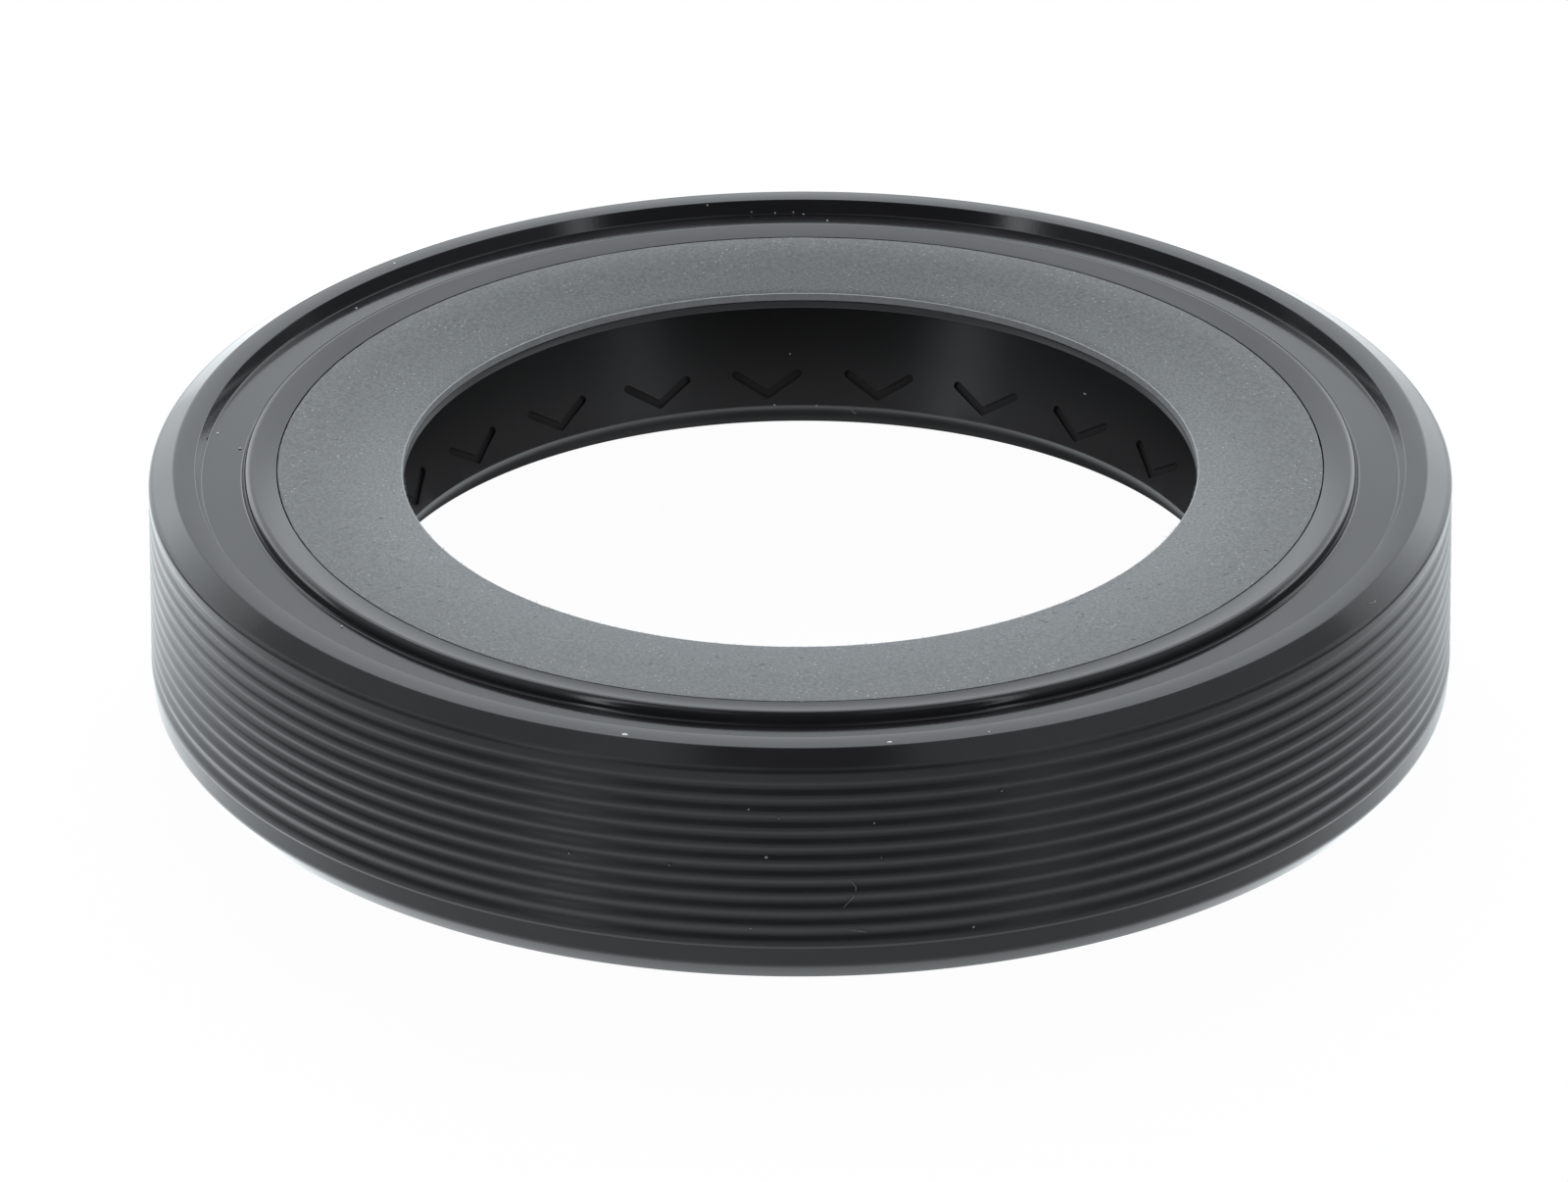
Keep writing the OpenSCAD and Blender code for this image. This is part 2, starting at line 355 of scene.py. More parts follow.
def add_tube(vertices, faces, path, radius, sides=4):
    """A thin closed tube along a path of points in millimetres; its ends taper."""
    base = len(vertices)
    last = len(path) - 1
    for i, point in enumerate(path):
        along = (path[min(i + 1, last)] - path[max(i - 1, 0)]).normalized()
        across = along.cross(NEAR_UPRIGHT).normalized()
        upright = along.cross(across)
        here_r = radius * (TAPER if i in (0, last) else 1)
        for k in range(sides):
            angle = 2 * math.pi * k / sides
            outward = across * math.cos(angle) + upright * math.sin(angle)
            vertices.append(tuple((point + outward * here_r) * MM))
    for i in range(last):
        for k in range(sides):
            m = (k + 1) % sides
            here, ahead = base + i * sides, base + (i + 1) * sides
            faces.append((here + k, here + m, ahead + m, ahead + k))
    faces.append(tuple(base + k for k in reversed(range(sides))))
    faces.append(tuple(base + last * sides + k for k in range(sides)))


# Materials

# Nearly all of a noise node's values lie between these
NOISE_SPAN = (0.3, 0.7)
# A speck has its full colour inside this share of its size
SPECK_FULL = 0.4


class Graph:
    """Short names for building a node tree."""

    def __init__(self, tree, coordinates):
        self.tree = tree
        self.where = self.node("TexCoord").outputs[coordinates]

    def node(self, kind):
        return self.tree.nodes.new("ShaderNode" + kind)

    def put(self, socket, value):
        """Link an output to a socket, or set the socket's own value."""
        if isinstance(value, bpy.types.NodeSocket):
            self.tree.links.new(value, socket)
        elif isinstance(value, tuple) and socket.type == "RGBA":
            socket.default_value = (*value, 1.0)
        else:
            socket.default_value = value

    def math(self, operation, *values):
        node = self.node("Math")
        node.operation = operation
        for socket, value in zip(node.inputs, values):
            self.put(socket, value)
        return node.outputs[0]

    def ramp(self, value, low, high, out_low=0.0, out_high=1.0):
        node = self.node("MapRange")
        node.interpolation_type = "SMOOTHSTEP"
        for name, number in (("Value", value), ("From Min", low), ("From Max", high),
                             ("To Min", out_low), ("To Max", out_high)):
            self.put(node.inputs[name], number)
        return node.outputs[0]

    def zone(self, length, low, high, out_low=0.0, out_high=1.0):
        """A ramp over a length; its two ends are millimetres."""
        return self.ramp(length, low * MM, high * MM, out_low, out_high)

    def product(self, *factors):
        result = factors[0]
        for factor in factors[1:]:
            result = self.math("MULTIPLY", result, factor)
        return result

    def split(self, vector):
        node = self.node("SeparateXYZ")
        self.put(node.inputs[0], vector)
        return node.outputs

    def radius(self):
        """Distance from the shaft's axis."""
        x, y = self.split(self.where)[:2]
        return self.math("SQRT", self.math("ADD", self.product(x, x), self.product(y, y)))

    def dot(self, vector, other):
        node = self.node("VectorMath")
        node.operation = "DOT_PRODUCT"
        self.put(node.inputs[0], vector)
        self.put(node.inputs[1], other)
        return node.outputs["Value"]

    def stretched(self, across, along):
        """Coordinates that run faster along the axis than across it."""
        node = self.node("Mapping")
        self.put(node.inputs["Vector"], self.where)
        self.put(node.inputs["Scale"], (across, across, along))
        return node.outputs[0]

    def noise(self, scale, detail=3.0, roughness=0.55, where=None):
        node = self.node("TexNoise")
        for name, value in (("Vector", where or self.where), ("Scale", scale), ("Detail", detail),
                            ("Roughness", roughness)):
            self.put(node.inputs[name], value)
        return node.outputs[0]

    def specks(self, scale, size):
        """1 on small scattered dots and 0 between them."""
        node = self.node("TexVoronoi")
        self.put(node.inputs["Vector"], self.where)
        self.put(node.inputs["Scale"], scale)
        return self.ramp(node.outputs["Distance"], size, size * SPECK_FULL)

    def mix(self, factor, a, b):
        """A blend of two colours; sockets 6 and 7 are the node's A and B for colours."""
        node = self.node("Mix")
        node.data_type = "RGBA"
        self.put(node.inputs["Factor"], factor)
        self.put(node.inputs[6], a)
        self.put(node.inputs[7], b)
        return node.outputs[2]

    def bump(self, height, distance, strength=1.0, under=None):
        node = self.node("Bump")
        self.put(node.inputs["Strength"], strength)
        self.put(node.inputs["Distance"], distance)
        self.put(node.inputs["Height"], height)
        if under:
            self.put(node.inputs["Normal"], under)
        return node.outputs[0]


def new_material(name):
    """A material, a graph for its nodes, and a function that fills its shader's sockets."""
    material = bpy.data.materials.new(name)
    material.use_nodes = True
    graph = Graph(material.node_tree, "Object")
    shader = material.node_tree.nodes["Principled BSDF"]

    def fill(**values):
        for socket, value in values.items():
            graph.put(shader.inputs[socket.replace("_", " ")], value)

    return material, graph, fill


# Black rubber, in its darker and lighter patches, and painted light on the lip: its colour made lighter
# towards the sealing edge, for the floor's light that the lower lip catches
RUBBER_DARK = (0.0185, 0.0174, 0.0192)
RUBBER_LIGHT = (0.0235, 0.0221, 0.0244)
RUBBER_PAINTED_LIGHT = (0.050, 0.047, 0.050)
# Noise values between which a dark patch turns into a light one
PATCH_SPAN = (0.35, 0.7)
FACE_ROUGH = 0.11
OUTSIDE_ROUGH = 0.285
MARK_ROUGH = 0.4
BLOOM_ROUGH = 0.04
FACE_GLOSS = 0.5
MARK_GLOSS = 0.2
# Radii over which the face's finish gives way to the lip's and to the ribs'; the lip's radii also bound
# the painted light on the lip
LIP_FINISH = (22.8, 21.8)
RIB_FINISH = (29.7, 29.85)
# Heights over which the painted light on the lip grows towards the sealing edge and ends under it
PAINTED_LIGHT_RISE = (8.5, 5.0)
PAINTED_LIGHT_END = (4.5, 4.7)


def rubber_material(name, face_rough, outside_rough, gloss):
    """Black moulded rubber: smooth on the face, duller on the ribs and on the turned lip."""
    material, g, fill = new_material(name)
    bloom = g.noise(scale=140.0, detail=4.0)
    grain = g.noise(scale=6000.0, detail=2.0)
    lines = g.noise(scale=1.0, detail=2.0, where=g.stretched(across=60.0, along=9000.0))
    radius = g.radius()
    rough = g.math("MAXIMUM", g.zone(radius, *RIB_FINISH, face_rough, outside_rough),
                   g.zone(radius, *LIP_FINISH, face_rough, outside_rough))
    z = g.split(g.where)[2]
    # Painted light: the lip's colour lightens towards the sealing edge, standing for light from the
    # floor in the hole
    painted_light = g.product(g.zone(radius, *LIP_FINISH), g.zone(z, *PAINTED_LIGHT_RISE), g.zone(z, *PAINTED_LIGHT_END))
    base = g.mix(g.ramp(bloom, *PATCH_SPAN), RUBBER_DARK, RUBBER_LIGHT)
    fill(Base_Color=g.mix(painted_light, base, RUBBER_PAINTED_LIGHT), Specular_IOR_Level=gloss,
         Roughness=g.math("ADD", rough, g.ramp(bloom, *NOISE_SPAN, 0.0, BLOOM_ROUGH)),
         Normal=g.bump(grain, distance=0.000003, strength=0.5,
                       under=g.bump(lines, distance=0.000002, strength=0.4)))
    return material


# The fabric's nap leans towards the hole, as a slope that grows with the distance from its edge
NAP_LEAN = 0.24
NAP_RUN = 2.2
# Between its fibres and on them, at the outer edge and, lighter, at the hole
FABRIC_DARK = (0.074, 0.077, 0.080)
FABRIC_LIGHT = (0.140, 0.145, 0.151)
HOLE_SIDE_DARK = (0.097, 0.101, 0.105)
HOLE_SIDE_LIGHT = (0.187, 0.194, 0.202)
LIGHTER_TO_HOLE = (23.3, 18.4)
PALE_SPECK = (0.38, 0.39, 0.40)
DARK_SPECK = (0.075, 0.078, 0.082)
# Pale specks lie where the large noise is high, and dark ones where it is low
PALE_CLOUDS = (0.42, 0.6)
DARK_CLOUDS = (0.6, 0.4)


def fabric_material():
    """Fine grey non-woven fabric with pale and dark specks, its nap leaning inwards."""
    material, g, fill = new_material("fabric")
    cloud = g.noise(scale=260.0, detail=4.0)
    fibres = g.noise(scale=7000.0, detail=4.0, roughness=0.7)
    pale = g.specks(scale=3100.0, size=0.17)
    dark = g.specks(scale=2700.0, size=0.14)
    # The fabric's colour grows lighter from its outer edge towards the hole
    towards_hole = g.zone(g.radius(), *LIGHTER_TO_HOLE)
    between = g.mix(towards_hole, FABRIC_DARK, HOLE_SIDE_DARK)
    on_fibre = g.mix(towards_hole, FABRIC_LIGHT, HOLE_SIDE_LIGHT)
    base = g.mix(g.ramp(fibres, *NOISE_SPAN), between, on_fibre)
    base = g.mix(g.product(g.ramp(cloud, *PALE_CLOUDS), pale), base, PALE_SPECK)
    base = g.mix(g.product(g.ramp(cloud, *DARK_CLOUDS), dark), base, DARK_SPECK)
    inward = g.math("SUBTRACT", FABRIC_R * MM, g.radius())
    run = g.math("SQRT", g.math("ADD", g.product(inward, inward), (NAP_RUN * MM) ** 2))
    nap = g.bump(g.math("MULTIPLY", run, -1.0), distance=NAP_LEAN)
    fill(Base_Color=base, Roughness=0.42, Specular_IOR_Level=0.3,
         Normal=g.bump(fibres, distance=0.00001, strength=0.4, under=nap))
    return material


# Pairs of a darker and a lighter shade
THREAD_SHADES = ((0.29, 0.30, 0.31), (0.46, 0.47, 0.48))
CUT_EDGE_SHADES = ((0.23, 0.237, 0.245), (0.36, 0.37, 0.38))
DUST_SHADES = ((0.60, 0.61, 0.62), (0.85, 0.85, 0.86))
STEEL_SHADES = ((0.36, 0.37, 0.385), (0.46, 0.47, 0.48))
WIRE_SHADES = ((0.52, 0.53, 0.55), (0.66, 0.67, 0.69))
STEEL_ROUGH = (0.32, 0.46)
WIRE_ROUGH = (0.2, 0.32)


def thread_material(name, low, high):
    """Loose or cut fibres, between two shades."""
    material, g, fill = new_material(name)
    fill(Base_Color=g.mix(g.noise(scale=3000.0), low, high), Roughness=0.6)
    return material


def dust_material():
    """Specks of pale dust."""
    material, g, fill = new_material("dust")
    fill(Base_Color=g.mix(g.noise(scale=4000.0), *DUST_SHADES), Roughness=0.7)
    return material


def steel_material():
    """Bare pressed sheet steel."""
    material, g, fill = new_material("case_steel")
    patch = g.noise(scale=180.0, detail=5.0)
    grain = g.noise(scale=5000.0, detail=3.0)
    fill(Base_Color=g.mix(patch, *STEEL_SHADES), Metallic=1.0,
         Roughness=g.ramp(patch, *NOISE_SPAN, *STEEL_ROUGH),
         Normal=g.bump(grain, distance=0.000006, strength=0.5))
    return material


def spring_material():
    """Drawn spring wire."""
    material, g, fill = new_material("spring_wire")
    streak = g.noise(scale=900.0, detail=3.0)
    fill(Base_Color=g.mix(streak, *WIRE_SHADES), Metallic=1.0,
         Roughness=g.ramp(streak, *NOISE_SPAN, *WIRE_ROUGH))
    return material


# Camera: fitted to the photograph's ellipses, looking down on the air side

IMAGE_W = 1600
SENSOR_MM = 36.0
CAMERA_DISTANCE = 1000.0
CAMERA_ELEVATION = math.radians(26.320)
FOCAL_PIXELS = 22174.0
PITCH = math.radians(26.6614)
YAW = math.radians(-0.0486)
ROLL = math.radians(-0.1712)


def make_camera():
    """The photograph's camera, aimed by pitch, yaw and roll."""
    data = bpy.data.cameras.new("camera")
    data.sensor_width = SENSOR_MM
    data.lens = FOCAL_PIXELS / IMAGE_W * SENSOR_MM
    data.clip_start = 0.05
    data.clip_end = 20.0
    camera = bpy.data.objects.new("camera", data)
    bpy.context.scene.collection.objects.link(camera)
    ahead = Vector((math.sin(YAW) * math.cos(PITCH), math.cos(YAW) * math.cos(PITCH), -math.sin(PITCH)))
    level = ahead.cross(UPRIGHT).normalized()
    upright = level.cross(ahead)
    right = level * math.cos(ROLL) + upright * math.sin(ROLL)
    up = upright * math.cos(ROLL) - level * math.sin(ROLL)
    turn = Matrix((right, up, -ahead)).transposed().to_4x4()
    place = Vector((0, -CAMERA_DISTANCE * math.cos(CAMERA_ELEVATION),
                    HEIGHT + CAMERA_DISTANCE * math.sin(CAMERA_ELEVATION))) * MM
    camera.matrix_world = Matrix.Translation(place) @ turn
    bpy.context.scene.camera = camera


# Studio

# Colour of all the light on the seal, a little cool
LIGHT_TINT = (0.92, 0.975, 1.0)

# The world is laid out by the parts of a direction: aside is how far it leans left or right,
# and height how far up. A pair of numbers is where a change starts and ends.
BACK_LEVEL = 1.3
BACK_WINGS = 0.6
BACK_SPREAD = (0.15, 0.5)
# The back panel rises from the horizon; its level there, straight behind and beside that
BACK_RISE = (0.05, 0.36)
BACK_FULL = 1.3
HORIZON_SPREAD = (0.12, 0.32)
HORIZON_MIDDLE = 0.35
HORIZON_END = (0.6, 0.8)
HORIZON_FAR = 0.1
# Its far ends are dark up to a height, and its wings darker above one
END_SPREAD = (0.55, 0.75)
END_HEIGHT = (0.22, 0.36)
END_SHARE = 0.2
WING_SPREAD = (0.2, 0.4)
WING_HEIGHT = (0.42, 0.66)
WING_SHARE = 0.4
# Bands of height, each with its start, its end and the factor on the level above it
BACK_BANDS = ((0.22, 0.32, 1.17), (0.34, 0.46, 0.78), (0.57, 0.66, 1.3))
# The panel's top edge leans over the seal, by this share of the height in the middle and aside
TOP_SPREAD = (0.1, 0.5)
TOP_LEAN = (0.6, 0.88)
TOP_SOFT = 0.05

TENT_TOP = 0.5
TENT_SIDE = 0.18
TENT_HEIGHT = (0.75, 0.92)
TENT_SPREAD = (0.10, 0.17)
SIDE_HEIGHT = (0.3, 0.8)
SIDE_SOFT = 0.04
FRONT_LEVEL = 0.09
STRIP_LEVEL = 2.8
STRIP_RIGHT = 0.62
STRIP_EDGE = (0.02, -0.02)
STRIP_FADE = (-0.12, -0.04)
STRIP_FRONT = (0.1, -0.2)
# Plane through one strip of light; the other is its mirror image
STRIP_PLANE = (-0.806, -0.559, 0.196)

FLOOR_SIZE = 6.0
# Just under the seal, so that no two faces share a plane
FLOOR_Z = -0.00002
FLOOR_WHITE = 0.975
PAPER = (0.86, 0.86, 0.86)

# The floor as gloss sees it. Zones are radii in millimetres; rear runs from -1, straight in
# front of the seal, to 1, straight behind it.
FLOOR_FRONT = 0.82
FLOOR_BACK = 1.9
BACK_FROM_REAR = (-0.9, -0.25)
# Brighter close to the seal's foot
FOOT_ZONE = (30.2, 30.7)
FOOT_GLOW = 1.3
# Darker a little beyond the foot, but not behind; straight in front this starts further out
# and is weaker
AWAY_ZONE = (31.2, 33.5)
AWAY_LEVEL = 0.44
AWAY_REAR = (-0.35, 0.3)
AWAY_FRONT_REAR = (-0.6, -0.9)
AWAY_FRONT_LIFT = 0.17
AWAY_SHIFT_REAR = (-0.4, -0.9)
AWAY_SHIFT = 1.8
# Dark far out, but not straight behind
FAR_ZONE = (70, 200)
FAR_LEVEL = 0.1
FAR_REAR = (0.6, 0.85)
# From left to right, in millimetres of x
ACROSS = (-20, 20)
FLOOR_LEFT = 1.25
FLOOR_RIGHT = 0.97
# Under the seal: lit below the lip, dim round the hole's edge, and lit in a ring inside it
UNDER_ZONE = (24, 28)
LIP_GLOW = 0.9
HOLE_DIM = 0.1
DIM_ZONE = (20.8, 19.6)
RING_GLOW = 1.1
RING_ZONE = (17.6, 16.0)
MIDDLE_DROP = 0.7
MIDDLE_ZONE = (13.0, 9.0)
# Inside this the floor also lights the seal as white paper
BOUNCE_ZONE = (20.5, 19.5)

LAMP_SIZE = 0.8
LAMP_DISTANCE = 1.2
LAMP_ELEVATION = math.radians(32)
LAMP_POWER = 16.0


def make_world():
    """A white background for the camera and a soft tent for the seal.

    The tent is bright behind the seal, plain at the sides and over it, and dark round the
    camera, with a strip of light at each side of the dark part.
    """
    world = bpy.data.worlds.new("studio")
    bpy.context.scene.world = world
    world.use_nodes = True
    world.node_tree.nodes.clear()
    g = Graph(world.node_tree, "Generated")
    x, y, z = g.split(g.where)
    aside = g.math("ABSOLUTE", x)

    top_edge = g.product(z, g.ramp(aside, *TOP_SPREAD, *TOP_LEAN))
    behind = g.ramp(g.math("SUBTRACT", y, top_edge), -TOP_SOFT, TOP_SOFT)
    horizon = g.product(g.ramp(aside, *HORIZON_SPREAD, HORIZON_MIDDLE, BACK_FULL),
                        g.ramp(aside, *HORIZON_END, 1.0, HORIZON_FAR))
    rise = g.ramp(z, *BACK_RISE, horizon, BACK_FULL)
    wings = g.ramp(z, *WING_HEIGHT, 1.0, g.ramp(aside, *WING_SPREAD, 1.0, WING_SHARE))
    ends = g.ramp(z, *END_HEIGHT, g.ramp(aside, *END_SPREAD, 1.0, END_SHARE), 1.0)
    bands = [g.ramp(z, start, end, 1.0, factor) for start, end, factor in BACK_BANDS]
    spread = g.ramp(aside, *BACK_SPREAD, BACK_LEVEL, BACK_LEVEL + BACK_WINGS)
    back = g.product(behind, rise, wings, ends, *bands, spread)

    tent = g.product(g.ramp(z, *TENT_HEIGHT), g.ramp(aside, *TENT_SPREAD, 0.0, TENT_TOP))
    sides = g.ramp(z, *SIDE_HEIGHT, TENT_SIDE, TENT_TOP)
    strips = []
    for side in (-1, 1):
        beyond = g.dot(g.where, (side * STRIP_PLANE[0], STRIP_PLANE[1], STRIP_PLANE[2]))
        tent = g.math("MAXIMUM", tent, g.product(g.ramp(beyond, SIDE_SOFT, -SIDE_SOFT), sides))
        strip_level = STRIP_LEVEL * (STRIP_RIGHT if side == 1 else 1)
        strips.append(g.product(g.ramp(beyond, *STRIP_EDGE), g.ramp(beyond, *STRIP_FADE),
                                g.ramp(y, *STRIP_FRONT, 0.0, strip_level)))
    front = g.math("ADD", g.math("MAXIMUM", tent, FRONT_LEVEL), g.math("ADD", *strips))
    level = g.math("MAXIMUM", front, back)

    path = g.node("LightPath")
    lit, white, pick = g.node("Background"), g.node("Background"), g.node("MixShader")
    g.put(lit.inputs["Color"], LIGHT_TINT)
    g.put(lit.inputs["Strength"], level)
    g.put(white.inputs["Color"], (1.0, 1.0, 1.0))
    direct = g.math("MAXIMUM", path.outputs["Is Camera Ray"], path.outputs["Is Transmission Ray"])
    g.put(pick.inputs[0], direct)
    g.put(pick.inputs[1], lit.outputs[0])
    g.put(pick.inputs[2], white.outputs[0])
    g.put(g.node("OutputWorld").inputs["Surface"], pick.outputs[0])


def make_floor():
    """Plain white floor that keeps a faint shadow.

    Gloss sees it brighter behind the seal than in front, and dim round the hole's edge.
    """
    half = FLOOR_SIZE / 2
    mesh = bpy.data.meshes.new("floor")
    corners = [(-half, -half, 0), (half, -half, 0), (half, half, 0), (-half, half, 0)]
    mesh.from_pydata(corners, [], [(0, 1, 2, 3)])
    floor = bpy.data.objects.new("floor", mesh)
    floor.location.z = FLOOR_Z
    bpy.context.scene.collection.objects.link(floor)
    material = bpy.data.materials.new("floor_paper")
    material.use_nodes = True
    material.node_tree.nodes.clear()
    g = Graph(material.node_tree, "Object")
    x, y = g.split(g.where)[:2]
    radius = g.radius()
    rear = g.math("DIVIDE", y, g.math("MAXIMUM", radius, MM))
    away = g.math("ADD", g.ramp(rear, *AWAY_REAR, AWAY_LEVEL, 1.0),
                  g.ramp(rear, *AWAY_FRONT_REAR, 0.0, AWAY_FRONT_LIFT))
    reach = g.math("SUBTRACT", radius, g.ramp(rear, *AWAY_SHIFT_REAR, 0.0, AWAY_SHIFT * MM))
    around = g.product(g.ramp(rear, *BACK_FROM_REAR, FLOOR_FRONT, FLOOR_BACK),
                       g.zone(reach, *AWAY_ZONE, 1.0, away),
                       g.zone(radius, *FOOT_ZONE, FOOT_GLOW, 1.0),
                       g.zone(radius, *FAR_ZONE, 1.0, g.ramp(rear, *FAR_REAR, FAR_LEVEL, 1.0)),
                       g.zone(x, *ACROSS, FLOOR_LEFT, FLOOR_RIGHT))
    under = g.math("ADD", g.zone(radius, *DIM_ZONE, LIP_GLOW, HOLE_DIM),
                   g.zone(radius, *RING_ZONE, 0.0, RING_GLOW))
    under = g.math("SUBTRACT", under, g.zone(radius, *MIDDLE_ZONE, 0.0, MIDDLE_DROP))
    outside = g.zone(radius, *UNDER_ZONE)
    seen_by_gloss = g.math("ADD", g.product(outside, around),
                           g.product(g.math("SUBTRACT", 1.0, outside), under))
    path = g.node("LightPath")
    direct = g.math("MAXIMUM", path.outputs["Is Camera Ray"], path.outputs["Is Transmission Ray"])

    paper, white, lit = g.node("BsdfDiffuse"), g.node("Emission"), g.node("Emission")
    seen, pick, lifted = g.node("MixShader"), g.node("MixShader"), g.node("MixShader")
    g.put(paper.inputs["Color"], PAPER)
    g.put(lit.inputs["Color"], LIGHT_TINT)
    g.put(lit.inputs["Strength"], seen_by_gloss)
    g.put(seen.inputs[0], g.product(direct, FLOOR_WHITE))
    g.put(seen.inputs[1], paper.outputs[0])
    g.put(seen.inputs[2], white.outputs[0])
    g.put(pick.inputs[0], path.outputs["Is Glossy Ray"])
    g.put(pick.inputs[1], seen.outputs[0])
    g.put(pick.inputs[2], lit.outputs[0])
    g.put(lifted.inputs[0], g.product(path.outputs["Is Diffuse Ray"], g.zone(radius, *BOUNCE_ZONE)))
    g.put(lifted.inputs[1], pick.outputs[0])
    g.put(lifted.inputs[2], white.outputs[0])
    g.put(g.node("OutputMaterial").inputs["Surface"], lifted.outputs[0])
    mesh.materials.append(material)


def make_lamp():
    """One large soft lamp, behind and above the seal."""
    data = bpy.data.lights.new("soft_lamp", "AREA")
    data.shape = "SQUARE"
    data.size = LAMP_SIZE
    data.energy = LAMP_POWER
    data.color = LIGHT_TINT
    lamp = bpy.data.objects.new("soft_lamp", data)
    lamp.visible_glossy = False
    bpy.context.scene.collection.objects.link(lamp)
    place = Vector((0, math.cos(LAMP_ELEVATION), math.sin(LAMP_ELEVATION))) * LAMP_DISTANCE
    lamp.matrix_world = Matrix.Translation(place) @ place.to_track_quat("Z", "Y").to_matrix().to_4x4()


# Pieces

def cut_marks(body):
    """Cut the V marks into the air side of the lip."""
    arm = math.hypot(MARK_W / 2, MARK_H)
    lean = math.atan2(MARK_H, MARK_W / 2)
    half = MARK_CUT_W / 2
    right_end = arc((arm * math.cos(lean), arm * math.sin(lean)), half,
                    lean - math.pi / 2, lean + math.pi / 2, MARK_ARC_STEPS)
    inner = (0.0, half / math.cos(lean))
    left_end = [(-x, y) for x, y in reversed(right_end)]
    low = arc((0, 0), half, -math.pi / 2 - lean, -math.pi / 2 + lean, MARK_TIP_STEPS)
    outline = right_end + [inner] + left_end + low
    count = len(outline)
    lift_z = LIP_Z + MARK_LIFT * math.cos(LIP_ANGLE)
    place = Matrix.Translation((lip_side_r(lift_z), 0, lift_z)) @ Matrix.Rotation(LIP_ANGLE, 4, "Y")
    vertices, faces = [], []
    for i in range(MARK_COUNT):
        matrix = Matrix.Rotation(MARK_START + 2 * math.pi * i / MARK_COUNT, 4, "Z") @ place
        base = len(vertices)
        for depth in (-MARK_CUTTER_OUT, MARK_DEPTH):
            vertices += [tuple((matrix @ Vector((depth, x, y))) * MM) for x, y in outline]
        faces.append(tuple(base + k for k in reversed(range(count))))
        faces.append(tuple(base + count + k for k in range(count)))
        for k in range(count):
            m = (k + 1) % count
            faces.append((base + k, base + m, base + count + m, base + count + k))
    mesh = bpy.data.meshes.new("mark_cutter")
    mesh.from_pydata(vertices, [], faces)
    cutter = bpy.data.objects.new("mark_cutter", mesh)
    bpy.context.scene.collection.objects.link(cutter)
    modifier = body.modifiers.new("marks", "BOOLEAN")
    modifier.operation = "DIFFERENCE"
    modifier.solver = "EXACT"
    modifier.object = cutter
    depsgraph = bpy.context.evaluated_depsgraph_get()
    cut = bpy.data.meshes.new_from_object(body.evaluated_get(depsgraph))
    body.modifiers.clear()
    body.data = cut
    bpy.data.objects.remove(cutter)
    smooth(cut)


# Where the faces of the V marks lie: heights over the sealing edge, and depth in the lip
MARK_ZONE_Z = (0.1, 3)
MARK_ZONE_DEPTH = (0.03, 0.5)


def make_body(material, cut_material):
    """The moulded rubber, with a duller finish inside the V marks."""
    body = turned("rubber_body", softened(body_profile(), BODY_EDGE_R), material)
    cut_marks(body)
    body.data.materials.append(cut_material)
    for face in body.data.polygons:
        r, z = math.hypot(face.center.x, face.center.y) / MM, face.center.z / MM
        deep = MARK_ZONE_DEPTH[0] < r - lip_side_r(z) < MARK_ZONE_DEPTH[1]
        if deep and MARK_ZONE_Z[0] < z - LIP_Z < MARK_ZONE_Z[1]:
            face.material_index = 1
    even_flats(body)
    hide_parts("seal_body")


def fabric_z(r):
    """Height of the fabric's upper side at a radius: its dish is half a cone, half a bowl."""
    inward = (FABRIC_R - r) / (FABRIC_R - HOLE_R)
    return FABRIC_TOP_Z - FABRIC_DISH * (0.5 * inward + 0.5 * inward ** 2)


FIBRE_R = 0.008
FIBRE_SIDES = 3
# Loose fibres lie on the fabric, their middle this share of their radius over it
FIBRE_LIFT = 0.4
LOOSE_FIBRES = 420
LOOSE_FROM_HOLE = 0.4
LOOSE_FROM_EDGE = 0.2
LOOSE_POINTS = 5
LOOSE_LENGTH = (0.08, 0.35)
LOOSE_BEND = (-1.5, 1.5)
# Fuzz on the cut edge: where its roots lie in the fabric, and how it runs from there
EDGE_FIBRES = 1500
EDGE_ROOT = 0.06
EDGE_POINTS = 4
EDGE_DEPTH = (0.02, 0.3)
EDGE_INWARD = (0.01, 0.05)
EDGE_SIDEWAYS = (-0.05, 0.05)
EDGE_LIFT = (-0.012, 0.03)
# The fuzz stays this far under the fabric's highest level
EDGE_UNDER = 0.02
# Width of the pale strip of cut fibres round the hole
PALE_EDGE_W = 0.07

FABRIC_AROUND = 900
FABRIC_STEPS = 12
# The fabric's outer edge: how far its top is rounded down and in, how wavy it is, and the
# fineness of its long and short waves
OUTER_EDGE_DROP = 0.02
OUTER_EDGE_IN = 0.015
OUTER_WAVES = 0.015
OUTER_FINENESS = (0.9, 3.1)
# The cut edge is rounded: how far out its points lie and how far down from its top
CUT_TOP_OUT = 0.02
CUT_ROUND = ((0.005, 0.05), (0, 0.2))
# How rough it is outwards and down, and how fine that is; down is finer by a factor
CUT_ROUGH_OUT = 0.03
CUT_ROUGH_DOWN = 0.02
CUT_FINENESS = 6
CUT_DOWN_FINER = 1.7


